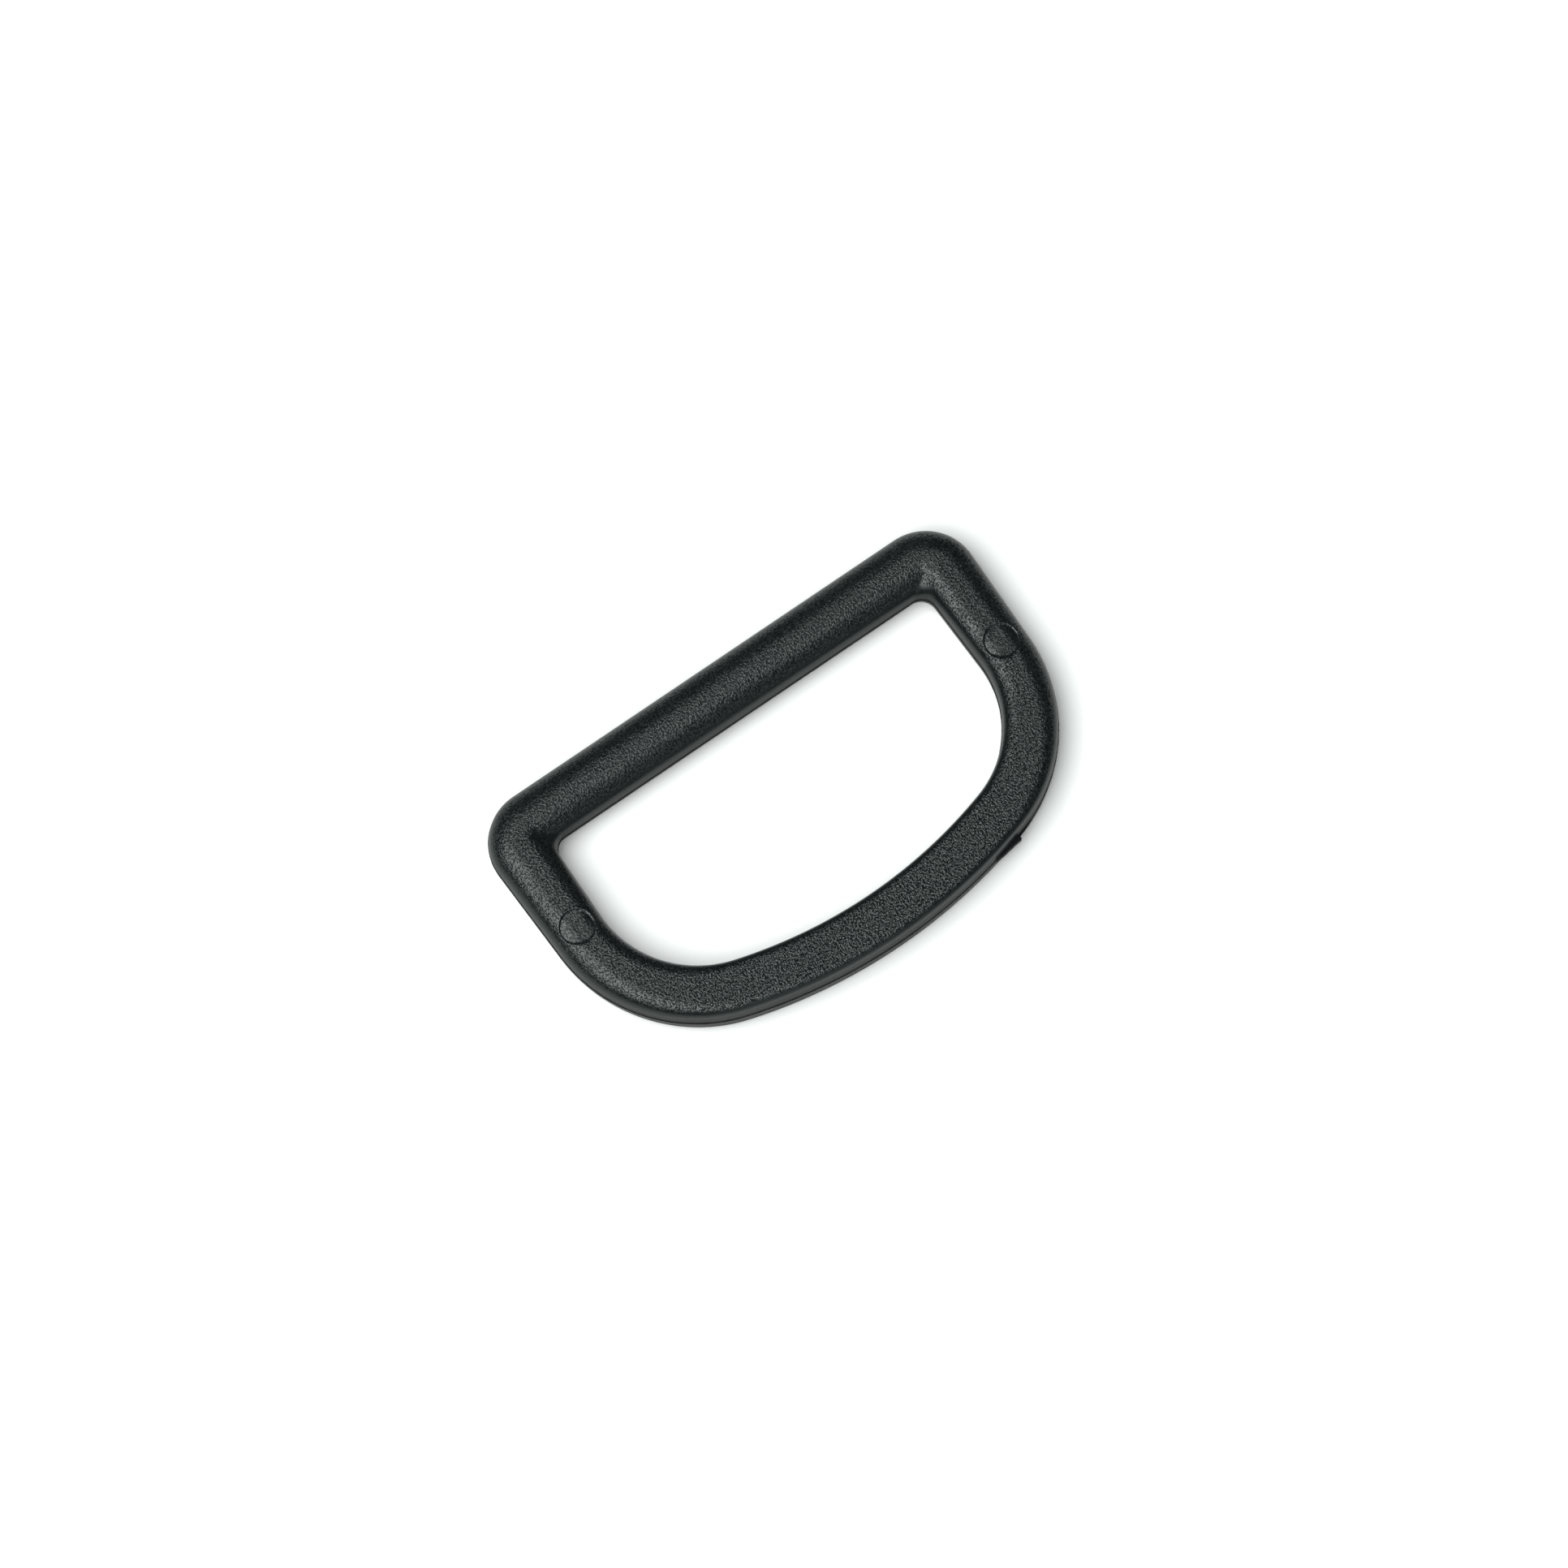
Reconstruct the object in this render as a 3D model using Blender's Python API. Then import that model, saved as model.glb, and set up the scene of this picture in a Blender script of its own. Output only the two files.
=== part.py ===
"""One-piece moulded D-ring for 38 mm webbing.

The ring lies flat on Z = 0. X runs along the straight bar that the webbing loops round, and +Y points
from the curved bow to the bar. The origin is under the middle of the ring's box. Lengths are in metres.

The ring is one closed band. A point of the band has a place along it (a run and a share of that run)
and a share across it, from 0 on the edge of the opening to 1 on the outer edge.
"""

import math

import bmesh
import bpy

# The opening.
OPENING_WIDTH = 0.0388            # clear width where the legs meet the shoulders
OPENING_HEIGHT = 0.01907          # clear height on the centre line, bow to bar
INNER_CORNER_RADIUS = 0.0014      # at the ends of the bar, at the parting line
INNER_SHOULDER_RADIUS = 0.0098
INNER_BOW_RADIUS = 0.0430
INNER_LEG_LEAN = math.radians(1.3)      # the legs' inner sides close in towards the bar

# The band round it.
THICKNESS = 0.0046
BAR_WIDTH = 0.00525
LEG_WIDTH = 0.0047                # at the shoulders, where a leg is narrowest
BOW_WIDTH = 0.00457
OUTER_CORNER_RADIUS = 0.0047
OUTER_SHOULDER_RADIUS = 0.0141
OUTER_BOW_RADIUS = 0.0489
OUTER_LEG_LEAN = math.radians(-1.2)     # the legs' outer sides spread towards the bar
VALLEY_RADIUS = 0.0007            # of the hollow between the tops of the bar and a leg
VALLEY_SHARE = 0.22               # where that hollow is tightest across the band

# The section: an upright wall at the parting line, then a curve that rises to a narrow level crest.
BAR_WALL = 0.0004                 # height of the wall above the parting line
BOW_WALL = 0.0015
BAR_DRAFT = math.radians(1.0)
BOW_DRAFT = math.radians(1.5)
BAR_CREST = 0.0004                # width left level on top
BOW_CREST = 0.0028
BAR_FULLNESS = 2.0                # the curve's exponent: 2 is an ellipse, and more is squarer
BOW_FULLNESS = 2.3
SECTION_STEPS = 7

# Marks that moulding leaves.
RIDGE_PROUD = 0.00006             # raised line where the mould halves meet
RIDGE_ROOT = 0.00009              # half its height where it leaves the wall
RIDGE_TIP = 0.00003               # half its height at its edge
GATE_START = 0.0107               # the torn-off gate, by its distance from the centre line
GATE_END = 0.0134
GATE_PROUD = 0.0004
GATE_ROOT = 0.0006
GATE_TIP = 0.00045
GATE_LIP = 0.00012                # how far the gate's thin end starts out, and its end's slope
FIN_END = 0.0153                  # the thin fin past the gate runs out here
FIN_PROUD = 0.00018
PIN_MARK_DIAMETER = 0.0030        # recess left by an ejector pin on the top of each leg
PIN_MARK_DEPTH = 0.0001
PIN_MARK_DROP = 0.0075            # from the bar's inner edge to the mark's centre
CUTTER_REACH = 0.0012             # how far the cutter reaches above and below the top
PIN_MARK_SIDES = 32

# How finely each run is divided, from the middle of the bar to the middle of the bow.
RUN_STEPS = {"bar": 4, "corner": 8, "leg": 7, "shoulder": 9, "bow": 10}
INNER_LEG_FLATNESS = 0.4          # of the legs' tops, where the bar's is 0 and the bow's is 1
OUTER_LEG_FLATNESS = 0.15
FLATTENING_RUNS = 1.2             # from the end of a leg to where the top is as flat as the bow's


def blend(start, end, share):
    return start + (end - start) * share


def ease(share):
    share = min(max(share, 0.0), 1.0)
    return share * share * (3.0 - 2.0 * share)


def corner_radius(across):
    """Radius of the bend at the end of the bar. It is least along the hollow between bar and leg."""
    if across < VALLEY_SHARE:
        return blend(INNER_CORNER_RADIUS, VALLEY_RADIUS, ease(across / VALLEY_SHARE))
    return blend(VALLEY_RADIUS, OUTER_CORNER_RADIUS, (across - VALLEY_SHARE) / (1.0 - VALLEY_SHARE))


def bow_geometry(across):
    """Shoulder centre x and y, bow centre y, and the bow's half angle."""
    half_width = OPENING_WIDTH / 2.0 + LEG_WIDTH * across
    shoulder = blend(INNER_SHOULDER_RADIUS, OUTER_SHOULDER_RADIUS, across)
    bow = blend(INNER_BOW_RADIUS, OUTER_BOW_RADIUS, across)
    half_angle = math.asin((half_width - shoulder) / (bow - shoulder))
    bow_y = bow - BOW_WIDTH * across
    shoulder_y = bow_y - (bow - shoulder) * math.cos(half_angle)
    return half_width - shoulder, shoulder_y, bow_y, half_angle


def band_point(run, along, across):
    """Point on the right half of the band, measured from the bow's inner edge on the centre line."""
    shoulder_x, shoulder_y, bow_y, half_angle = bow_geometry(across)
    shoulder = blend(INNER_SHOULDER_RADIUS, OUTER_SHOULDER_RADIUS, across)
    bow = blend(INNER_BOW_RADIUS, OUTER_BOW_RADIUS, across)
    lean = blend(INNER_LEG_LEAN, OUTER_LEG_LEAN, across)
    corner = corner_radius(across)
    bar_y = OPENING_HEIGHT + BAR_WIDTH * across
    corner_y = bar_y - corner
    reach = shoulder - corner
    rise = (corner_y - shoulder_y - reach * math.sin(lean)) / math.cos(lean)
    corner_x = shoulder_x + reach * math.cos(lean) - rise * math.sin(lean)
    if run == "bar":
        return corner_x * along, bar_y
    if run == "corner":
        turn = blend(math.pi / 2.0, lean, along)
        return corner_x + corner * math.cos(turn), corner_y + corner * math.sin(turn)
    if run == "leg":
        x = blend(corner_x + corner * math.cos(lean), shoulder_x + shoulder * math.cos(lean), along)
        y = blend(corner_y + corner * math.sin(lean), shoulder_y + shoulder * math.sin(lean), along)
        return x, y
    if run == "shoulder":
        turn = blend(lean, half_angle - math.pi / 2.0, along)
        return shoulder_x + shoulder * math.cos(turn), shoulder_y + shoulder * math.sin(turn)
    turn = half_angle * (1.0 - along)
    return bow * math.sin(turn), bow_y - bow * math.cos(turn)


def bow_share(distance):
    """Share along the bow's run at which its outer edge is this far from the centre line."""
    half_angle = bow_geometry(1.0)[3]
    return 1.0 - math.asin(distance / OUTER_BOW_RADIUS) / half_angle


def gate_profile(distance):
    """How far the outer parting line stands out, its root and its tip, by distance from the centre."""
    if GATE_START <= distance <= GATE_END:
        share = (distance - GATE_START) / (GATE_END - GATE_START)
        return blend(GATE_LIP, GATE_PROUD, share), GATE_ROOT, GATE_TIP
    if GATE_END < distance <= FIN_END:
        share = (distance - GATE_END) / (FIN_END - GATE_END)
        return blend(FIN_PROUD, RIDGE_PROUD, share), RIDGE_ROOT, RIDGE_TIP
    return RIDGE_PROUD, RIDGE_ROOT, RIDGE_TIP


def stations():
    """Places round the whole band: side (1 right, -1 left), run and share, in order."""
    right = [("bar", 0.0)]
    for run, steps in RUN_STEPS.items():
        right += [(run, step / steps) for step in range(1, steps + 1)]
    left = list(reversed(right[1:-1]))
    marks = (GATE_START - GATE_LIP, GATE_START, blend(GATE_START, GATE_END, 0.5),
             GATE_END, GATE_END + GATE_LIP, FIN_END)
    plain = [place for place in right if place[0] != "bow"]
    bow = {along for run, along in right if run == "bow"}
    spacing = 0.4 / RUN_STEPS["bow"]
    extra = {bow_share(distance) for distance in marks}
    bow = {along for along in bow if along == 1.0 or all(abs(along - other) > spacing for other in extra)}
    right = plain + [("bow", along) for along in sorted(bow | extra)]
    return [(1, run, along) for run, along in right] + [(-1, run, along) for run, along in left]


def flatness(run, along, leg_flatness):
    """0 where the band is round like the bar, 1 where its top is flat like the bow's."""
    place = list(RUN_STEPS).index(run) + along
    past_bar = place - list(RUN_STEPS).index("corner")
    past_leg = place - list(RUN_STEPS).index("shoulder")
    return leg_flatness * ease(past_bar) + (1.0 - leg_flatness) * ease(past_leg / FLATTENING_RUNS)


def half_section(flat, width):
    """Inset from the edge and height above the parting line, from the wall's foot to the crown."""
    wall = blend(BAR_WALL, BOW_WALL, flat)
    inset = wall * math.tan(blend(BAR_DRAFT, BOW_DRAFT, flat))
    reach = (width - blend(BAR_CREST, BOW_CREST, flat)) / 2.0 - inset
    rise = THICKNESS / 2.0 - wall
    power = 2.0 / blend(BAR_FULLNESS, BOW_FULLNESS, flat)
    profile = [(inset, wall)]
    for step in range(1, SECTION_STEPS):
        turn = math.pi / 2.0 * step / SECTION_STEPS
        profile.append((inset + reach * (1.0 - math.cos(turn) ** power), wall + rise * math.sin(turn) ** power))
    profile.append((inset + reach, THICKNESS / 2.0))
    return profile


def section_ring(side, run, along):
    """The section's points at one place: outer side up, over the crown, inner side down, and under."""
    inner_x, inner_y = band_point(run, along, 0.0)
    outer_x, outer_y = band_point(run, along, 1.0)
    width = math.hypot(outer_x - inner_x, outer_y - inner_y)
    outer_half = half_section(flatness(run, along, OUTER_LEG_FLATNESS), width)
    inner_half = half_section(flatness(run, along, INNER_LEG_FLATNESS), width)
    on_right_bow = side == 1 and run == "bow"
    distance = outer_x if on_right_bow else 0.0
    proud, root, tip = gate_profile(distance)
    outer = [(-proud, tip), (0.0, root)] + outer_half
    inner = [(-RIDGE_PROUD, RIDGE_TIP), (0.0, RIDGE_ROOT)] + inner_half
    top = [(1.0 - inset / width, height) for inset, height in outer]
    top += [(inset / width, height) for inset, height in reversed(inner)]
    ring = top + [(across, -height) for across, height in reversed(top)]
    middle_y = (OPENING_HEIGHT + BAR_WIDTH - BOW_WIDTH) / 2.0
    points = []
    for across, height in ring:
        clamped = min(max(across, 0.0), 1.0)
        x, y = band_point(run, along, clamped)
        x += (outer_x - inner_x) * (across - clamped)
        y += (outer_y - inner_y) * (across - clamped)
        points.append((side * x, y - middle_y, THICKNESS / 2.0 + height))
    return points


def black_plastic():
    material = bpy.data.materials.new("black_acetal")
    material.use_nodes = True
    shader = material.node_tree.nodes["Principled BSDF"]
    shader.inputs["Base Color"].default_value = (0.012, 0.0135, 0.0135, 1.0)
    shader.inputs["Roughness"].default_value = 0.42
    shader.inputs["Metallic"].default_value = 0.0
    return material


def make_ring():
    mesh = bpy.data.meshes.new("d_ring")
    shape = bmesh.new()
    rings = [[shape.verts.new(point) for point in section_ring(*place)] for place in stations()]
    for number, ring in enumerate(rings):
        following = rings[(number + 1) % len(rings)]
        for corner in range(len(ring)):
            other = (corner + 1) % len(ring)
            shape.faces.new((ring[corner], ring[other], following[other], following[corner]))
    bmesh.ops.recalc_face_normals(shape, faces=shape.faces)
    shape.to_mesh(mesh)
    shape.free()
    mesh.materials.append(black_plastic())
    mesh.shade_smooth()
    mesh.set_sharp_from_angle(angle=math.radians(35.0))
    ring_object = bpy.data.objects.new("d_ring", mesh)
    bpy.context.collection.objects.link(ring_object)
    return ring_object


def leg_middle(drop):
    """Middle of the right leg's top, this far below the bar's inner edge."""
    start_x, start_y = band_point("leg", 0.0, 0.5)
    end_x, end_y = band_point("leg", 1.0, 0.5)
    y = OPENING_HEIGHT - drop
    x = blend(start_x, end_x, (y - start_y) / (end_y - start_y))
    return x, y - (OPENING_HEIGHT + BAR_WIDTH - BOW_WIDTH) / 2.0


def cutting_object(name, mesh):
    cutter = bpy.data.objects.new(name, mesh)
    cutter.hide_render = True
    cutter.display_type = "WIRE"
    bpy.context.collection.objects.link(cutter)
    return cutter


def subtract(thing, cutter):
    cut = thing.modifiers.new(cutter.name, "BOOLEAN")
    cut.operation = "DIFFERENCE"
    cut.object = cutter


def cut_pin_mark(ring_object, lowered, side, name):
    """Sink a disc of the leg's top, so that the mark's floor follows the leg's own curve."""
    x, y = leg_middle(PIN_MARK_DROP)
    shape = bmesh.new()
    bmesh.ops.create_cone(shape, cap_ends=True, segments=PIN_MARK_SIDES, depth=2.0 * CUTTER_REACH,
                          radius1=PIN_MARK_DIAMETER / 2.0, radius2=PIN_MARK_DIAMETER / 2.0)
    bmesh.ops.translate(shape, verts=shape.verts, vec=(side * x, y, THICKNESS))
    mesh = bpy.data.meshes.new(name)
    shape.to_mesh(mesh)
    shape.free()
    cutter = cutting_object(name, mesh)
    subtract(cutter, lowered)
    subtract(ring_object, cutter)


def main():
    for thing in list(bpy.data.objects):
        bpy.data.objects.remove(thing)
    ring_object = make_ring()
    lowered = cutting_object("lowered_ring", ring_object.data.copy())
    lowered.location.z = -PIN_MARK_DEPTH
    cut_pin_mark(ring_object, lowered, 1, "pin_mark_right")
    cut_pin_mark(ring_object, lowered, -1, "pin_mark_left")


main()
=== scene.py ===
"""Moulded D-ring for 38 mm webbing: the fine surface, the black plastic and a plain studio.

The ring lies flat on Z = 0. X runs along the straight bar and +Y points from the curved bow to the
bar. A place on the ring is a run along the band (bar, corner, leg, shoulder, bow) and a share
across it, from 0 on the edge of the opening to 1 on the outer edge. Lengths are in metres.
"""

import math

import bpy
from bpy.props import FloatProperty, FloatVectorProperty, IntProperty, PointerProperty
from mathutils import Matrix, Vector


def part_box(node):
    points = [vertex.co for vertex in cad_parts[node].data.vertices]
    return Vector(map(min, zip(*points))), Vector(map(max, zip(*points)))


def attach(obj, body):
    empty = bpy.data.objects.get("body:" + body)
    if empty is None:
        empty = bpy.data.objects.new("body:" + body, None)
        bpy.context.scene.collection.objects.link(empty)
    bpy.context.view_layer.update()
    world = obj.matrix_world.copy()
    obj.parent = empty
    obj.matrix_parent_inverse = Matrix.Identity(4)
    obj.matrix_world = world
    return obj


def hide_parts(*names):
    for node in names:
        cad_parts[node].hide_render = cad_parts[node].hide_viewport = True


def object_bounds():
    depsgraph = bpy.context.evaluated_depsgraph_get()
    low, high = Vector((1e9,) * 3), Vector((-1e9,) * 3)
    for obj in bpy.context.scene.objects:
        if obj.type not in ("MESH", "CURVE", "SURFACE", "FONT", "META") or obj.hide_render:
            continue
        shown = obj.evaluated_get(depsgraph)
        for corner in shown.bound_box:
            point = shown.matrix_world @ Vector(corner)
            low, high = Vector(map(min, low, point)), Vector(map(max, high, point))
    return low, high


bl_info = {
    "name": "Moulded D-ring",
    "version": (1, 0, 0),
    "blender": (4, 5, 0),
    "location": "3D View > Sidebar > D-ring",
    "description": "A one-piece plastic D-ring for webbing, swept by geometry nodes",
    "category": "Add Mesh",
}

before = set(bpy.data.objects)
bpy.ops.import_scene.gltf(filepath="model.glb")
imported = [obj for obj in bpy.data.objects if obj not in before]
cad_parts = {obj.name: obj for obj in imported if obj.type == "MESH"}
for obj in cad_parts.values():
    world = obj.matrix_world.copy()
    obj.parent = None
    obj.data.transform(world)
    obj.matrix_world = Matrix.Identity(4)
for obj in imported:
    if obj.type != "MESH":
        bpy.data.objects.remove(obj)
CAD_LOW, CAD_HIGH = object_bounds()
RING_LOW, RING_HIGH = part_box("d_ring")

NUMBER = "NodeSocketFloat"
SHAPE = "NodeSocketGeometry"

# The sweep: the runs along half the band, and the steps up half of the top's section.
RUNS = ("bar", "corner", "leg", "shoulder", "bow")
TOP_STEPS = {"ridge": 3, "wall": 3, "curve": 28, "crest": 6}
UNDER_SHARE = 0.35               # the underside's steps, as a share of the top's
PATH_RADIUS = 0.02               # these two only hold the points until each is moved to its place
PROFILE_RADIUS = 0.001

# How ragged the parting line is: an even share of its size, and the share that the noise adds.
RIDGE_RAGGED = (0.35, 1.1)
GATE_RAGGED = (0.75, 0.5)
FIN_RAGGED = (0.6, 0.8)
RAGGED_SCALE = 1400.0            # cells of the noise in a metre
RAGGED_DETAIL = 3.0
RAGGED_SEED = 4.0
GATE_FROM_PLACE = 3.9            # the gate and its fin lie past this place along the band

# Where the finish and the painted glints and shade change over the section.
GRAIN_START = 0.05               # share across the band where the grain begins
GRAIN_FADE = 0.08                # share across the band over which it comes up
UPRIGHT_FADE = 0.2               # share of the curve over which the walls' finish and painted shade end
PIN_FROM_CURVE = 0.05            # the pin marks lie past this share of the curve

# The grain, with its strength on the flat top of the bow as 1. It sets both the bump and the
# painted glints and shade.
GRAIN_ON_WALL = 0.08
GRAIN_ON_ROUND = 0.75
GRAIN_LOST_ON_PIN = 0.25
GRAIN_DETAIL = 1.0
STRAND_DISTORTION = 0.3
FINE_CELL = 0.5                  # the fine noise's cells and height, against the strands'
FINE_HEIGHT = 0.4
FINE_DISTORTION = 0.4
GLINT_GAIN = 5.0                   # how sharply the painted glints on the grain's tips stand out from the painted shade in its hollows
GLINT_DROP = 4.5
TORN_CELL = 0.8                  # the torn gate's cells, against the strands'
TORN_DETAIL = 3.0
PIN_STEP_SLOPE = 11.0            # a crisp step round the pin marks
PIN_STEP_HEIGHT = 0.6

# Broad patches in the colour, and what each thing adds to the roughness.
PATCH_CELL = 0.004
PATCH_DETAIL = 2.0
PATCH_PALER = 1.25
PATCH_ROUGHNESS = 0.08
STRAND_ROUGHNESS = 0.10
TORN_ROUGHNESS = 0.2
UPRIGHT_ROUGHNESS = 0.12

# Painted glints and shade: a duller copy of the plastic paints shade in the grain's hollows, and a
# glossier copy paints glints on its tips.
SHADED_HOLLOW_INDEX = 1.12
GLINTING_TIP_INDEX = 1.66
UNGRAINED_GLINT_SHARE = 0.5                # how far towards the tips' glossier copy, with its painted glints, it is where there is no grain
WALL_PAINTED_SHADE = 0.45          # and how much of that an upright wall loses, which paints shade on the walls
SPECULAR_TINT = (0.90, 1.0, 0.97, 1.0)

# The studio. Each light has a size, a power, an azimuth, an elevation and a distance.
LIGHTS = {
    "key_light": (2.4, 70.0, -91.0, 66.0, 2.0),
    "fill_light": (1.6, 4.0, -5.0, 24.0, 2.0),
}
WORLD_COLOUR = (0.9, 0.95, 1.0, 1.0)
WORLD_STRENGTH = 0.15
FLOOR_HALF = 3.0
FLOOR_ROUGHNESS = 0.9
FLOOR_GAP = 0.00002              # keeps the floor clear of the ring's own underside
SENSOR_WIDTH = 36.0
CLIP_START = 0.01
CLIP_END = 20.0


def length(name, description, default):
    return FloatProperty(name=name, description=description, default=default, unit="LENGTH",
                         precision=5)


def angle(name, description, degrees):
    return FloatProperty(name=name, description=description, default=math.radians(degrees),
                         unit="ROTATION")


def share(name, description, default):
    return FloatProperty(name=name, description=description, default=default, subtype="FACTOR",
                         min=0.0, max=1.0)


def number(name, description, default):
    return FloatProperty(name=name, description=description, default=default, min=0.0)


def steps(name, description, default):
    return IntProperty(name=name, description=description, default=default, min=4)


def colour(name, description, default):
    return FloatVectorProperty(name=name, description=description, subtype="COLOR", size=3,
                               min=0.0, max=1.0, default=default)


class OutlineSizes(bpy.types.PropertyGroup):
    """Sizes of the ring seen from above."""

    opening_width: length("Opening width", "Clear width where legs and shoulders meet", 0.0388)
    bar_width: length("Bar width", "Width of the straight bar", 0.00525)
    leg_width: length("Leg width", "Width of a leg where it meets the shoulder", 0.0047)
    bow_width: length("Bow width", "Width of the curved bow", 0.00457)
    inner_corner: length("Inner corner", "Radius inside the ends of the bar", 0.0014)
    outer_corner: length("Outer corner", "Radius outside the ends of the bar", 0.0047)
    valley: length("Hollow radius", "Radius of the hollow between bar and leg", 0.0007)
    valley_share: share("Hollow place", "Where the hollow is tightest across the band", 0.22)
    inner_shoulder: length("Inner shoulder", "Radius inside the shoulders", 0.0098)
    outer_shoulder: length("Outer shoulder", "Radius outside the shoulders", 0.0141)
    inner_bow: length("Inner bow", "Radius inside the bow", 0.0430)
    outer_bow: length("Outer bow", "Radius outside the bow", 0.0489)
    inner_lean: angle("Inner lean", "Lean of the legs' inner sides towards the middle", 1.3)
    outer_lean: angle("Outer lean", "Lean of the legs' outer sides towards the middle", -1.2)


class SectionSizes(bpy.types.PropertyGroup):
    """Sizes of the ring's section."""

    bar_wall: length("Bar wall", "Height of the upright wall on the bar", 0.0004)
    bow_wall: length("Bow wall", "Height of the upright wall on the bow", 0.0015)
    bar_draft: angle("Bar draft", "Slope of the bar's wall", 1.0)
    bow_draft: angle("Bow draft", "Slope of the bow's wall", 1.5)
    bar_crest: length("Bar crest", "Width left level on top of the bar", 0.0004)
    bow_crest: length("Bow crest", "Width left level on top of the bow", 0.0028)
    bar_fullness: number("Bar fullness", "Exponent of the bar's curve, 2 for an ellipse", 2.0)
    bow_fullness: number("Bow fullness", "Exponent of the bow's curve, more is squarer", 2.3)
    inner_flatness: share("Inner flatness", "Of a leg's inner top, where the bow's is 1", 0.4)
    outer_flatness: share("Outer flatness", "Of a leg's outer top, where the bow's is 1", 0.15)
    flattening: number("Flattening", "Runs from a leg's end to where the top is flat", 1.2)


class MarkSizes(bpy.types.PropertyGroup):
    """Sizes of the marks that moulding leaves."""

    ridge_proud: length("Ridge", "How far the parting line stands out", 0.00006)
    ridge_root: length("Ridge root", "Half the ridge's height at the wall", 0.00009)
    ridge_tip: length("Ridge tip", "Half the ridge's height at its edge", 0.00003)
    gate_start: length("Gate start", "Near end of the gate, from the centre line", 0.0107)
    gate_end: length("Gate end", "Far end of the gate, from the centre line", 0.0134)
    gate_proud: length("Gate", "How far the gate stands out at its far end", 0.0004)
    gate_lip: length("Gate lip", "How far the gate stands out at its near end", 0.00012)
    gate_root: length("Gate root", "Half the gate's height at the wall", 0.0006)
    gate_tip: length("Gate tip", "Half the gate's height at its torn face", 0.00045)
    fin_end: length("Fin end", "Where the thin fin past the gate runs out", 0.0153)
    fin_proud: length("Fin", "How far the fin stands out beside the gate", 0.00018)
    pin_diameter: length("Pin mark", "Width of an ejector pin's mark", 0.0030)
    pin_depth: length("Pin depth", "Depth of an ejector pin's mark", 0.0001)
    pin_drop: length("Pin drop", "From the bar's inner edge to a pin mark's centre", 0.0075)
    pin_rim: length("Pin rim", "Width of the slope round a pin mark", 0.00014)


class MeshSteps(bpy.types.PropertyGroup):
    """How finely each run of the ring is divided."""

    bar: steps("Bar", "Steps along half the bar", 44)
    corner: steps("Corner", "Steps round a corner", 44)
    leg: steps("Leg", "Steps along a leg", 150)
    shoulder: steps("Shoulder", "Steps round a shoulder", 90)
    bow: steps("Bow", "Steps along half the bow", 120)


class PlasticLook(bpy.types.PropertyGroup):
    """Colour and grain of the black plastic."""

    colour: colour("Colour", "Colour of the plastic", (0.0030, 0.0040, 0.0040))
    roughness: share("Roughness", "How dull the plastic is", 0.30)
    cell: length("Grain cell", "Width of one cell of the grain", 0.00017)
    depth: length("Grain depth", "Depth of the grain", 0.00006)
    stretch: number("Grain stretch", "Length of a strand of the grain against its width", 1.15)


class StageLook(bpy.types.PropertyGroup):
    """The studio round the ring."""

    azimuth: angle("Azimuth", "Direction of the camera round the ring", -34.95)
    elevation: angle("Elevation", "Height of the camera above the floor", 74.9)
    distance: length("Distance", "From the camera to the ring", 1.2)
    width: length("Frame width", "Width that the camera sees at the ring", 0.1320)
    aim_x: length("Aim X", "Where the camera looks, from the ring's middle", -0.00012)
    aim_y: length("Aim Y", "Where the camera looks, from the ring's middle", 0.00241)
    floor: colour("Floor", "Colour of the floor", (0.92, 0.95, 0.93))


class Term:
    """A node's output that Python's arithmetic turns into Math nodes."""

    def __init__(self, sheet, socket):
        self.sheet = sheet
        self.socket = socket

    def math(self, operation, *others, clamp=False):
        return self.sheet.math(operation, self, *others, clamp=clamp)

    def __add__(self, other):
        return self.math("ADD", other)

    def __sub__(self, other):
        return self.math("SUBTRACT", other)

    def __mul__(self, other):
        return self.math("MULTIPLY", other)

    def __truediv__(self, other):
        return self.math("DIVIDE", other)

    def __rsub__(self, other):
        return self.sheet.math("SUBTRACT", other, self)

    def __rtruediv__(self, other):
        return self.sheet.math("DIVIDE", other, self)

    __radd__ = __add__
    __rmul__ = __mul__

    def clamped(self):
        return self.math("ADD", 0.0, clamp=True)

    def above(self, other):
        return self.math("GREATER_THAN", other)

    def power(self, exponent):
        return self.math("POWER", exponent)

    def sin(self):
        return self.math("SINE")

    def cos(self):
        return self.math("COSINE")

    def eased(self):
        """Clamped between 0 and 1, and smooth at both ends."""
        kept = self.clamped()
        return kept * kept * (3.0 - 2.0 * kept)


class Sheet:
    """A node tree that nodes are laid out on."""

    def __init__(self, tree):
        self.tree = tree

    def node(self, kind, settings=None, values=None, output=0):
        """Make a node: its settings first, then its sockets, then the output asked for.

        An output of None asks for the node itself.
        """
        made = self.tree.nodes.new(kind)
        for name, value in (settings or {}).items():
            setattr(made, name, value)
        for name, value in (values or {}).items():
            if isinstance(value, Term):
                self.tree.links.new(value.socket, made.inputs[name])
            else:
                made.inputs[name].default_value = value
        if output is None:
            return made
        return Term(self, made.outputs[output])

    def math(self, operation, *operands, clamp=False):
        settings = {"operation": operation, "use_clamp": clamp}
        return self.node("ShaderNodeMath", settings, dict(enumerate(operands)))

    def blend(self, start, end, amount):
        return start + (end - start) * amount

    def mix(self, amount, first, second):
        """Blend two colours."""
        values = {0: amount, 6: first, 7: second}
        return self.node("ShaderNodeMix", {"data_type": "RGBA"}, values, 2)

    def tree_inputs(self):
        """The tree's own inputs by name."""
        given = self.node("NodeGroupInput", output=None)
        return {socket.name: Term(self, socket) for socket in given.outputs if socket.name}


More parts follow.
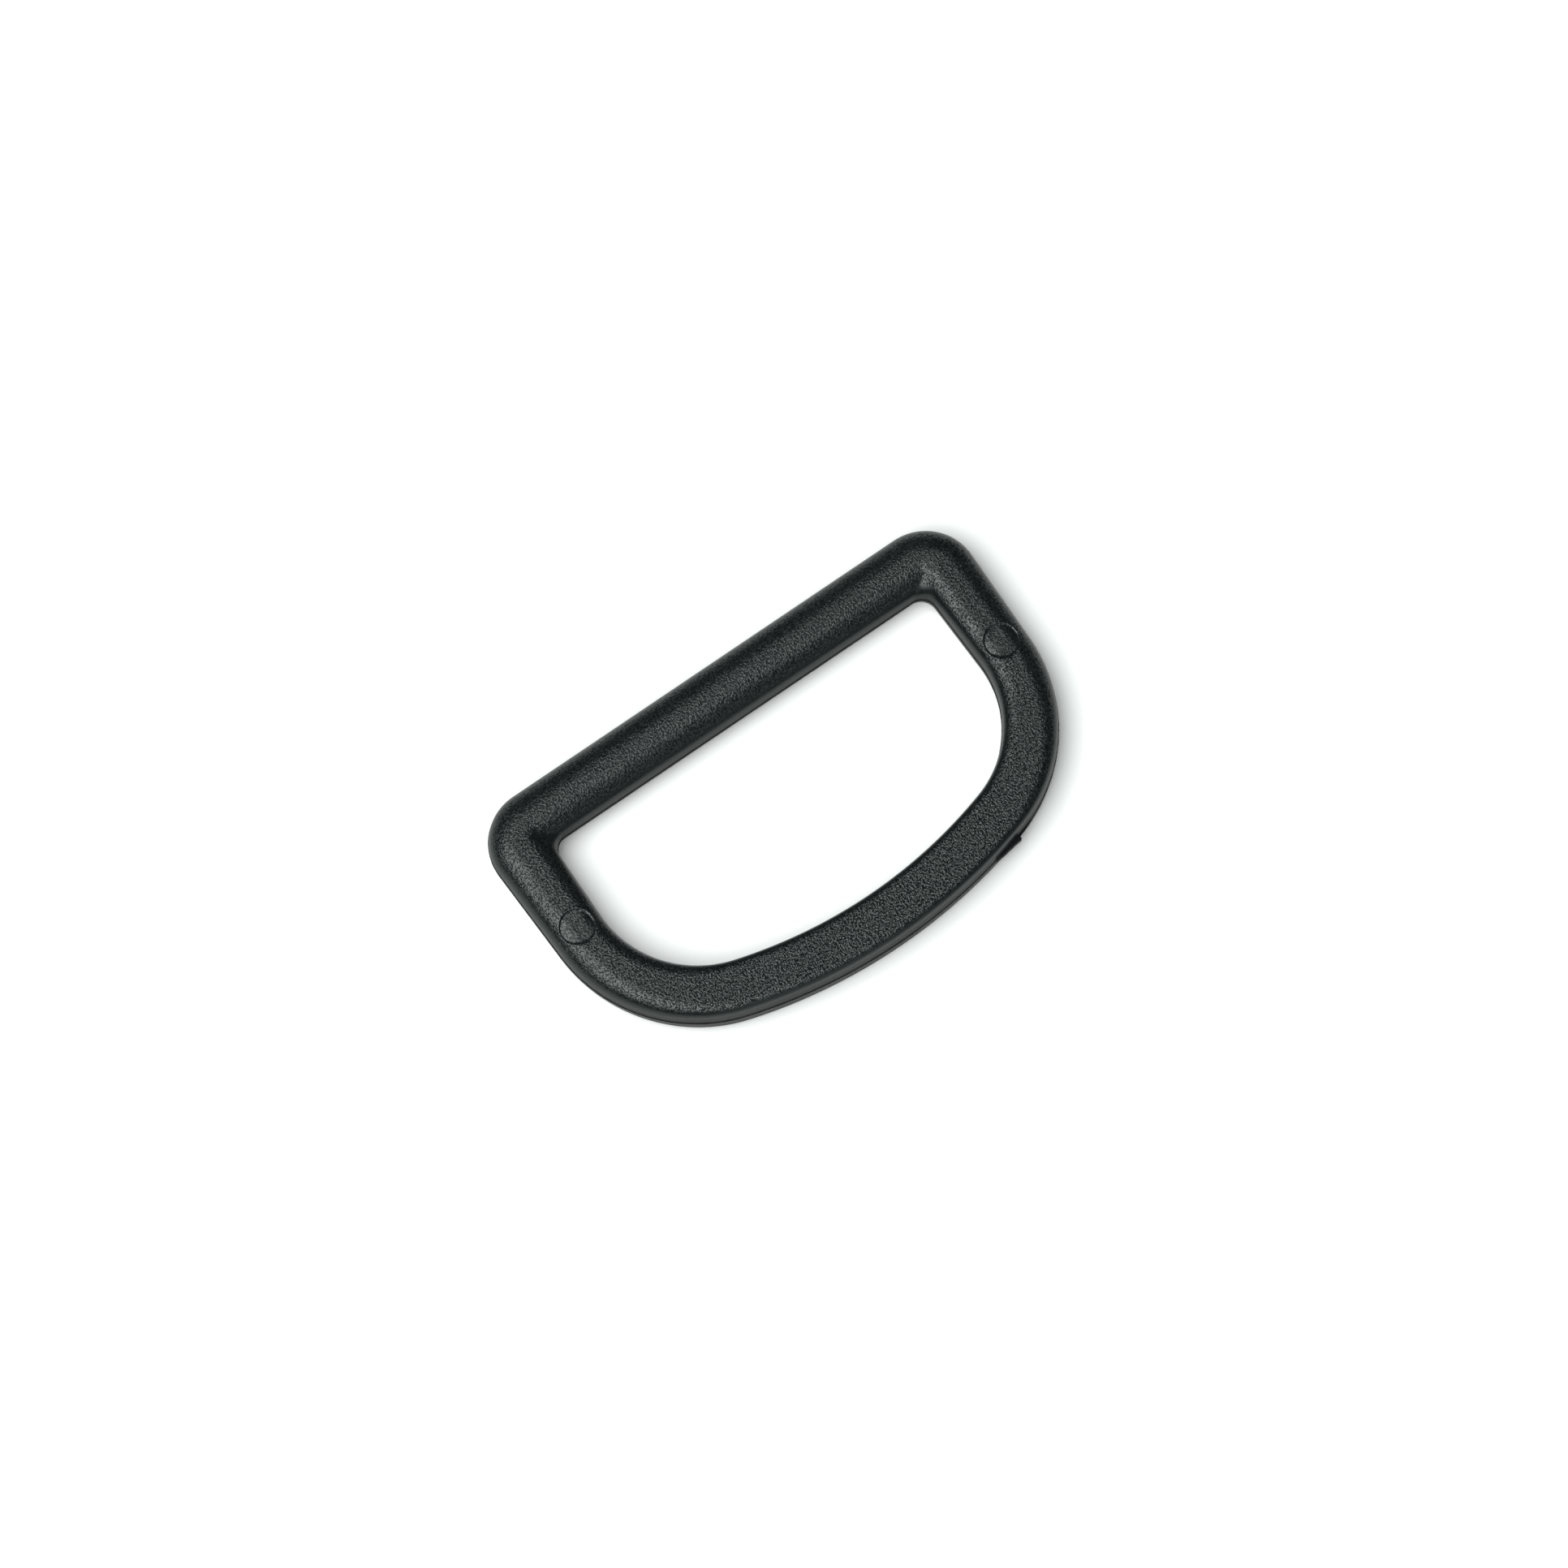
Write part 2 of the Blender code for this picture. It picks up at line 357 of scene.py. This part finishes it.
def new_geometry_tree(name, inputs, outputs):
    """Empty geometry tree with these inputs and outputs, each a name and a kind of socket."""
    tree = bpy.data.node_groups.new(name, "GeometryNodeTree")
    for way, sockets in (("INPUT", inputs), ("OUTPUT", outputs)):
        for socket, kind in sockets.items():
            tree.interface.new_socket(name=socket, in_out=way, socket_type=kind)
    return tree, Sheet(tree)


def values_of(group):
    """Names and values of a property group's numbers."""
    return {name: getattr(group, name) for name in group.__annotations__}


def band_point_tree(outline):
    """Tree that turns a place along the band and a share across it into X and Y.

    The point is on the right half. Y is measured from the bow's inner edge on the centre line.
    """
    names = ("place", "across", "opening_height", *outline)
    tree, sheet = new_geometry_tree("band_point", dict.fromkeys(names, NUMBER),
                                    {"X": NUMBER, "Y": NUMBER})
    size = sheet.tree_inputs()
    across = size["across"]

    def along(run):
        return (size["place"] - float(RUNS.index(run))).clamped()

    # Width, radii and lean at this share across, with the hollow where the corner is tightest.
    half_width = size["opening_width"] * 0.5 + size["leg_width"] * across
    shoulder = sheet.blend(size["inner_shoulder"], size["outer_shoulder"], across)
    bow = sheet.blend(size["inner_bow"], size["outer_bow"], across)
    lean = sheet.blend(size["inner_lean"], size["outer_lean"], across)
    inside = across / size["valley_share"]
    outside = (across - size["valley_share"]) / (1.0 - size["valley_share"])
    corner = sheet.blend(size["inner_corner"], size["valley"], inside.eased())
    corner = corner + (size["outer_corner"] - size["valley"]) * outside.math("MAXIMUM", 0.0)

    # Centres of the bow's, the shoulder's and the corner's arcs, each touching the next line.
    half_angle = ((half_width - shoulder) / (bow - shoulder)).math("ARCSINE")
    bow_y = bow - size["bow_width"] * across
    shoulder_x = half_width - shoulder
    shoulder_y = bow_y - (bow - shoulder) * half_angle.cos()
    bar_y = size["opening_height"] + size["bar_width"] * across
    corner_y = bar_y - corner
    reach = shoulder - corner
    rise = (corner_y - shoulder_y - reach * lean.sin()) / lean.cos()
    corner_x = shoulder_x + reach * lean.cos() - rise * lean.sin()

    # The walk from the middle of the bar to the middle of the bow.
    quarter = math.pi / 2.0
    corner_turn = sheet.blend(quarter, lean, along("corner"))
    shoulder_turn = sheet.blend(lean, half_angle - quarter, along("shoulder"))
    bow_turn = half_angle * (1.0 - along("bow"))
    leg = along("leg")
    leg_x = (shoulder_x + shoulder * lean.cos()) - (corner_x + corner * lean.cos())
    leg_y = (shoulder_y + shoulder * lean.sin()) - (corner_y + corner * lean.sin())
    x = corner_x * along("bar") + corner * corner_turn.cos() + leg_x * leg
    x = x + shoulder * (shoulder_turn.cos() - lean.cos())
    x = x + bow * (bow_turn.sin() - half_angle.sin())
    y = corner_y + corner * corner_turn.sin() + leg_y * leg
    y = y + shoulder * (shoulder_turn.sin() - lean.sin())
    y = y + bow * (half_angle.cos() - bow_turn.cos())
    sheet.node("NodeGroupOutput", None, {"X": x, "Y": y}, None)
    return tree


def ring_tree(names, outline, material):
    """Tree that sweeps the section along a closed path whose points know their place."""
    tree, sheet = new_geometry_tree("moulded_ring", {"Path": SHAPE, **dict.fromkeys(names, NUMBER)},
                                    {"Ring": SHAPE})
    size = sheet.tree_inputs()
    band_tree = band_point_tree(outline)

    def attribute(name):
        return sheet.node("GeometryNodeInputNamedAttribute", {"data_type": "FLOAT"},
                          {"Name": name})

    def store(shape, name, value):
        return sheet.node("GeometryNodeStoreNamedAttribute",
                          {"data_type": "FLOAT", "domain": "POINT"},
                          {"Geometry": shape, "Name": name, "Value": value})

    place = attribute("place")
    side = attribute("side")

    def past(run):
        return place - float(RUNS.index(run))

    def band_point(across):
        values = {name: size[name] for name in ("opening_height", *outline)}
        values.update({"place": place, "across": across})
        made = sheet.node("GeometryNodeGroup", {"node_tree": band_tree}, values, None)
        return Term(sheet, made.outputs["X"]), Term(sheet, made.outputs["Y"])

    # The sweep itself: every point keeps its number round the section.
    top = sum(TOP_STEPS.values())
    under = round(top * UNDER_SHARE)
    around = 2 * top + 2 * under + 2
    profile = sheet.node("GeometryNodeCurvePrimitiveCircle", {"mode": "RADIUS"},
                         {"Resolution": around, "Radius": PROFILE_RADIUS})
    profile = store(profile, "step", sheet.node("GeometryNodeInputIndex"))
    path = sheet.node("GeometryNodeMeshToCurve", None, {"Mesh": size["Path"]})
    swept = sheet.node("GeometryNodeCurveToMesh", None, {"Curve": path, "Profile Curve": profile})

    # How far each part of the section has got here: the ridge, the wall, the curve and the crest.
    step = attribute("step")
    is_under = step.above(2.0 * top + 0.5)
    on_top = float(top) - (step - float(top)).math("ABSOLUTE")
    below = float(under) - (step - float(2 * top + 1 + under)).math("ABSOLUTE")
    count = sheet.blend(on_top, below * (top / under), is_under)
    level = {}
    start = 0
    for part, part_steps in TOP_STEPS.items():
        level[part] = ((count - float(start)) / float(part_steps)).clamped()
        start += part_steps
    outer_top = 1.0 - step.above(top + 0.5)
    outer_under = step.above(2.0 * top + 1.5 + under)
    is_outer = (outer_top + outer_under).clamped()
    up = 1.0 - 2.0 * is_under

    # The band's width and how flat its top is here.
    inner_x, inner_y = band_point(0.0)
    outer_x, outer_y = band_point(1.0)
    width = (inner_x - outer_x).power(2.0) + (inner_y - outer_y).power(2.0)
    width = width.math("SQRT")
    leg_flat = sheet.blend(size["inner_flatness"], size["outer_flatness"], is_outer)
    flat = leg_flat * past("corner").eased()
    flat = flat + (1.0 - leg_flat) * (past("shoulder") / size["flattening"]).eased()

    # The parting line, ragged by a little noise, with the torn gate and its fin on the outer bow.
    where = sheet.node("ShaderNodeCombineXYZ", None, {0: outer_x * side, 1: outer_y, 2: is_outer})
    ragged = sheet.node("ShaderNodeTexNoise", {"noise_dimensions": "4D"},
                        {"Vector": where, "W": size["seed"], "Scale": RAGGED_SCALE,
                         "Detail": RAGGED_DETAIL})

    def roughened(proud, shares):
        even, uneven = shares
        return proud * (even + uneven * ragged)

    on_gate_side = is_outer * side.above(0.0) * (place - GATE_FROM_PLACE).above(0.0)
    gate_share = (outer_x - size["gate_start"]) / (size["gate_end"] - size["gate_start"])
    fin_share = (outer_x - size["gate_end"]) / (size["fin_end"] - size["gate_end"])
    on_gate = on_gate_side * gate_share.above(0.0) * (1.0 - gate_share.above(1.0))
    on_fin = on_gate_side * fin_share.above(0.0) * (1.0 - fin_share.above(1.0))
    gate_proud = sheet.blend(size["gate_lip"], size["gate_proud"], gate_share)
    fin_proud = sheet.blend(size["fin_proud"], size["ridge_proud"], fin_share)
    proud = roughened(size["ridge_proud"], RIDGE_RAGGED)
    proud = sheet.blend(proud, roughened(gate_proud, GATE_RAGGED), on_gate)
    proud = sheet.blend(proud, roughened(fin_proud, FIN_RAGGED), on_fin)
    root = sheet.blend(size["ridge_root"], size["gate_root"], on_gate)
    tip = sheet.blend(size["ridge_tip"], size["gate_tip"], on_gate)

    # The section: inset from the edge and height above the parting line.
    wall = sheet.blend(size["bar_wall"], size["bow_wall"], flat)
    draft = sheet.blend(size["bar_draft"], size["bow_draft"], flat)
    wall_inset = wall * draft.math("TANGENT")
    crest = sheet.blend(size["bar_crest"], size["bow_crest"], flat)
    reach = (width - crest) * 0.5 - wall_inset
    rise = size["half_thickness"] - wall
    turn = level["curve"] * (math.pi / 2.0)
    exponent = 2.0 / sheet.blend(size["bar_fullness"], size["bow_fullness"], flat)
    inset = wall_inset * level["wall"] - proud * (1.0 - level["ridge"])
    inset = inset + reach * (1.0 - turn.cos().power(exponent)) + crest * 0.5 * level["crest"]
    height = tip + (root - tip) * level["ridge"] + (wall - root) * level["wall"]
    height = height + rise * turn.sin().power(exponent)

    across = inset / width
    across = sheet.blend(across, 1.0 - across, is_outer)
    x, y = band_point(across)
    x = x * side
    y = y + size["bow_y"]

    # The ejector pins leave a shallow sunk disc on the top of each leg.
    pin_radius = size["pin_diameter"] * 0.5
    far_x = x.math("ABSOLUTE") - size["pin_x"]
    far_y = y - size["pin_y"]
    far = (far_x * far_x + far_y * far_y).math("SQRT")
    in_pin = ((pin_radius - far) / size["pin_rim"] + 0.5).eased()
    in_pin = in_pin * (up * level["curve"]).above(PIN_FROM_CURVE)
    height = height - size["pin_depth"] * in_pin

    # What the plastic's finish and its painted glints and shade read, kept on the points before
    # each goes to its place.
    finish = {
        "grain": ((inset / width - GRAIN_START) / GRAIN_FADE).eased(),
        "flat": flat,
        "pin_mark": in_pin,
        "pin_edge": far / pin_radius + is_under,
        "torn": on_gate * (1.0 - level["wall"]),
        "upright": 1.0 - (level["curve"] * (1.0 / UPRIGHT_FADE)).clamped(),
    }
    shape = swept
    for name, value in finish.items():
        shape = store(shape, name, value)
    z = size["half_thickness"] + height * up
    position = sheet.node("ShaderNodeCombineXYZ", None, {0: x, 1: y, 2: z})
    for kind, values in (("GeometryNodeSetPosition", {"Position": position}),
                         ("GeometryNodeSetShadeSmooth", {"Shade Smooth": True}),
                         ("GeometryNodeRealizeInstances", {}),
                         ("GeometryNodeSetMaterial", {"Material": material})):
        shape = sheet.node(kind, None, {"Geometry": shape, **values})
    sheet.node("NodeGroupOutput", None, {"Ring": shape}, None)
    return tree


def black_plastic(look):
    """Black moulded plastic: leathery grain on the tops, smoother walls and pin marks, with painted
    glints on the grain's tips, painted shade in its hollows and painted shade on the walls.
    """
    material = bpy.data.materials.new("black_plastic")
    material.use_nodes = True
    material.node_tree.nodes.clear()
    sheet = Sheet(material.node_tree)

    def attribute(name):
        return sheet.node("ShaderNodeAttribute", {"attribute_name": name}, None, "Fac")

    where = sheet.node("ShaderNodeTexCoord", None, None, "Object")
    stretched = sheet.node("ShaderNodeVectorMath", {"operation": "MULTIPLY"},
                           {0: where, 1: (1.0, 1.0 / look.stretch, 1.0)})

    def noise(cell, detail, distortion=0.0, vector=where):
        values = {"Vector": vector, "Scale": 1.0 / cell, "Detail": detail,
                  "Distortion": distortion}
        return sheet.node("ShaderNodeTexNoise", {"noise_dimensions": "3D"}, values, "Fac")

    torn = attribute("torn")
    upright = attribute("upright")
    strength = sheet.blend(GRAIN_ON_WALL, 1.0, attribute("grain"))
    strength = strength * (1.0 - GRAIN_LOST_ON_PIN * attribute("pin_mark"))
    strength = strength * sheet.blend(GRAIN_ON_ROUND, 1.0, attribute("flat"))
    pin_step = ((1.0 - attribute("pin_edge")) * PIN_STEP_SLOPE + 0.5).clamped()

    strands = noise(look.cell, GRAIN_DETAIL, STRAND_DISTORTION, stretched)
    fine = noise(look.cell * FINE_CELL, GRAIN_DETAIL, FINE_DISTORTION)
    # Where the glossier copy paints glints on the grain's tips.
    tips = ((strands + fine) * GLINT_GAIN - GLINT_DROP).clamped()
    height = ((strands - 0.5) + (fine - 0.5) * FINE_HEIGHT) * strength
    height = height + (noise(look.cell * TORN_CELL, TORN_DETAIL) - 0.5) * torn
    height = height - PIN_STEP_HEIGHT * pin_step
    bump = sheet.node("ShaderNodeBump", None,
                      {"Strength": 1.0, "Distance": look.depth, "Height": height})

    patches = noise(PATCH_CELL, PATCH_DETAIL)
    plain = (*look.colour, 1.0)
    paler = (*(PATCH_PALER * part for part in look.colour), 1.0)
    shade = sheet.mix(patches, plain, paler)
    roughness = look.roughness + (patches - 0.5) * PATCH_ROUGHNESS
    roughness = roughness + (strands - 0.5) * STRAND_ROUGHNESS
    roughness = roughness + torn * TORN_ROUGHNESS + upright * UPRIGHT_ROUGHNESS

    def plastic(index):
        return sheet.node("ShaderNodeBsdfPrincipled", None,
                          {"Base Color": shade, "Roughness": roughness, "IOR": index,
                           "Specular Tint": SPECULAR_TINT, "Normal": bump})

    # Share of the glossier copy: painted glints on the grain's tips, painted shade in its hollows
    # and on the upright walls.
    smooth = UNGRAINED_GLINT_SHARE - WALL_PAINTED_SHADE * upright
    shader = sheet.node("ShaderNodeMixShader", None,
                        {0: sheet.blend(smooth, tips, strength),
                         1: plastic(SHADED_HOLLOW_INDEX), 2: plastic(GLINTING_TIP_INDEX)})
    sheet.node("ShaderNodeOutputMaterial", None, {"Surface": shader}, None)
    return material


def path_mesh(run_steps):
    """Closed loop of points, each with its place along the band and its side of the middle."""
    right = [(run + step / run_steps[name], 1.0)
             for run, name in enumerate(RUNS) for step in range(run_steps[name])]
    left = [(place, -1.0) for place, _ in reversed(right[1:])]
    places = [*right, (float(len(RUNS)), 1.0), *left]
    count = len(places)
    turns = [2.0 * math.pi * number / count for number in range(count)]
    points = [(PATH_RADIUS * math.sin(turn), PATH_RADIUS * math.cos(turn), 0.0) for turn in turns]
    edges = [(number, (number + 1) % count) for number in range(count)]
    mesh = bpy.data.meshes.new("ring_path")
    mesh.from_pydata(points, edges, [])
    for name, values in zip(("place", "side"), zip(*places)):
        mesh.attributes.new(name, "FLOAT", "POINT").data.foreach_set("value", values)
    return mesh


def pin_centre(outline, marks, opening_height):
    """Middle of the right leg this far below the bar, with Y from the bow's inner edge."""
    lean = (outline.inner_lean + outline.outer_lean) / 2.0
    shoulder = (outline.inner_shoulder + outline.outer_shoulder) / 2.0
    bow = (outline.inner_bow + outline.outer_bow) / 2.0
    half_width = (outline.opening_width + outline.leg_width) / 2.0
    half_angle = math.asin((half_width - shoulder) / (bow - shoulder))
    shoulder_y = bow - outline.bow_width / 2.0 - (bow - shoulder) * math.cos(half_angle)
    start_x = half_width - shoulder + shoulder * math.cos(lean)
    start_y = shoulder_y + shoulder * math.sin(lean)
    y = opening_height - marks.pin_drop
    return start_x - (y - start_y) * math.tan(lean), y


def baked(holder, name):
    """The shape that a modifier makes, as a plain mesh object of its own."""
    depsgraph = bpy.context.evaluated_depsgraph_get()
    shape = holder.evaluated_get(depsgraph)
    mesh = bpy.data.meshes.new_from_object(shape, depsgraph=depsgraph)
    mesh.name = name
    made = bpy.data.objects.new(name, mesh)
    bpy.context.collection.objects.link(made)
    old = holder.data
    bpy.data.objects.remove(holder)
    bpy.data.meshes.remove(old)
    return made


class DRING_OT_ring(bpy.types.Operator):
    """Make the moulded ring in place of the plain one"""

    bl_idname = "dring.make_ring"
    bl_label = "Make ring"

    def execute(self, context):
        scene = context.scene
        outline, marks = scene.dring_outline, scene.dring_marks
        bar_outer = RING_HIGH.y - marks.ridge_proud
        bow_outer = RING_LOW.y + marks.ridge_proud
        bow_y = bow_outer + outline.bow_width
        opening_height = bar_outer - outline.bar_width - bow_y
        pin_x, pin_y = pin_centre(outline, marks, opening_height)
        values = {
            "opening_height": opening_height,
            "half_thickness": (RING_HIGH.z - RING_LOW.z) / 2.0,
            "bow_y": bow_y,
            "seed": RAGGED_SEED,
            "pin_x": pin_x,
            "pin_y": pin_y + bow_y,
            **values_of(outline),
            **values_of(scene.dring_section),
            **values_of(marks),
        }
        del values["pin_drop"]   # the pin marks' centre already holds it
        material = black_plastic(scene.dring_plastic)
        tree = ring_tree(tuple(values), tuple(values_of(outline)), material)
        holder = bpy.data.objects.new("ring_holder", path_mesh(values_of(scene.dring_steps)))
        context.collection.objects.link(holder)
        sweep = holder.modifiers.new("sweep", "NODES")
        sweep.node_group = tree
        identifiers = {item.name: item.identifier for item in tree.interface.items_tree
                       if item.in_out == "INPUT"}
        for name, value in values.items():
            sweep[identifiers[name]] = value
        ring = baked(holder, "moulded_d_ring")
        highest = max(ring.data.polygons, key=lambda polygon: polygon.center.z)
        if highest.normal.z < 0.0:
            ring.data.flip_normals()
        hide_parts("d_ring")
        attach(ring, "root")
        return {"FINISHED"}


def plain_material(name, shade, roughness):
    material = bpy.data.materials.new(name)
    material.use_nodes = True
    shader = material.node_tree.nodes["Principled BSDF"]
    shader.inputs["Base Color"].default_value = (*shade, 1.0)
    shader.inputs["Roughness"].default_value = roughness
    return material


def stand(name, data, azimuth, elevation, distance, aim):
    """Camera or light that looks at a point from this direction, given in radians."""
    flat = math.cos(elevation)
    back = Vector((math.sin(azimuth) * flat, -math.cos(azimuth) * flat, math.sin(elevation)))
    made = bpy.data.objects.new(name, data)
    made.location = aim + back * distance
    made.rotation_euler = back.to_track_quat("Z", "Y").to_euler()
    bpy.context.collection.objects.link(made)
    return made


class DRING_OT_stage(bpy.types.Operator):
    """Lay the floor, hang the soft lights and set the camera"""

    bl_idname = "dring.make_stage"
    bl_label = "Make stage"

    def execute(self, context):
        scene = context.scene
        look = scene.dring_stage
        middle = (CAD_LOW + CAD_HIGH) / 2.0
        aim = middle + Vector((look.aim_x, look.aim_y, 0.0))

        level = CAD_LOW.z - FLOOR_GAP
        corners = [(x * FLOOR_HALF, y * FLOOR_HALF, level)
                   for x, y in ((-1.0, -1.0), (1.0, -1.0), (1.0, 1.0), (-1.0, 1.0))]
        mesh = bpy.data.meshes.new("studio_floor")
        mesh.from_pydata(corners, [], [(0, 1, 2, 3)])
        mesh.materials.append(plain_material("pale_floor", look.floor, FLOOR_ROUGHNESS))
        floor = bpy.data.objects.new("studio_floor", mesh)
        context.collection.objects.link(floor)

        camera = bpy.data.cameras.new("camera")
        camera.sensor_width = SENSOR_WIDTH
        camera.lens = SENSOR_WIDTH * look.distance / look.width
        camera.clip_start = CLIP_START
        camera.clip_end = CLIP_END
        scene.camera = stand("camera", camera, look.azimuth, look.elevation, look.distance, aim)

        for name, (size, power, azimuth, elevation, distance) in LIGHTS.items():
            light = bpy.data.lights.new(name, "AREA")
            light.shape = "DISK"
            light.size = size
            light.energy = power
            stand(name, light, math.radians(azimuth), math.radians(elevation), distance, middle)

        world = bpy.data.worlds.new("studio")
        world.use_nodes = True
        background = world.node_tree.nodes["Background"]
        background.inputs["Color"].default_value = WORLD_COLOUR
        background.inputs["Strength"].default_value = WORLD_STRENGTH
        scene.world = world
        scene.view_settings.view_transform = "Standard"
        scene.view_settings.look = "None"
        return {"FINISHED"}


class DRING_PT_panel(bpy.types.Panel):
    """Sizes, finish and stage of the D-ring"""

    bl_idname = "DRING_PT_panel"
    bl_label = "Moulded D-ring"
    bl_space_type = "VIEW_3D"
    bl_region_type = "UI"
    bl_category = "D-ring"

    def draw(self, context):
        layout = self.layout
        for group_name, (title, _) in GROUPS.items():
            group = getattr(context.scene, group_name)
            layout.label(text=title)
            for name in group.__annotations__:
                layout.prop(group, name)
        for operator in OPERATORS:
            layout.operator(operator.bl_idname)


GROUPS = {
    "dring_outline": ("Outline", OutlineSizes),
    "dring_section": ("Section", SectionSizes),
    "dring_marks": ("Moulding marks", MarkSizes),
    "dring_steps": ("Mesh", MeshSteps),
    "dring_plastic": ("Plastic", PlasticLook),
    "dring_stage": ("Stage", StageLook),
}
OPERATORS = (DRING_OT_ring, DRING_OT_stage)
CLASSES = (*(group for _, group in GROUPS.values()), *OPERATORS, DRING_PT_panel)


def register():
    for new_class in CLASSES:
        bpy.utils.register_class(new_class)
    for name, (_, group) in GROUPS.items():
        setattr(bpy.types.Scene, name, PointerProperty(type=group))


def unregister():
    for name in GROUPS:
        delattr(bpy.types.Scene, name)
    for old_class in reversed(CLASSES):
        bpy.utils.unregister_class(old_class)


def main():
    register()
    bpy.ops.dring.make_ring()
    bpy.ops.dring.make_stage()


if __name__ == "__main__":
    main()
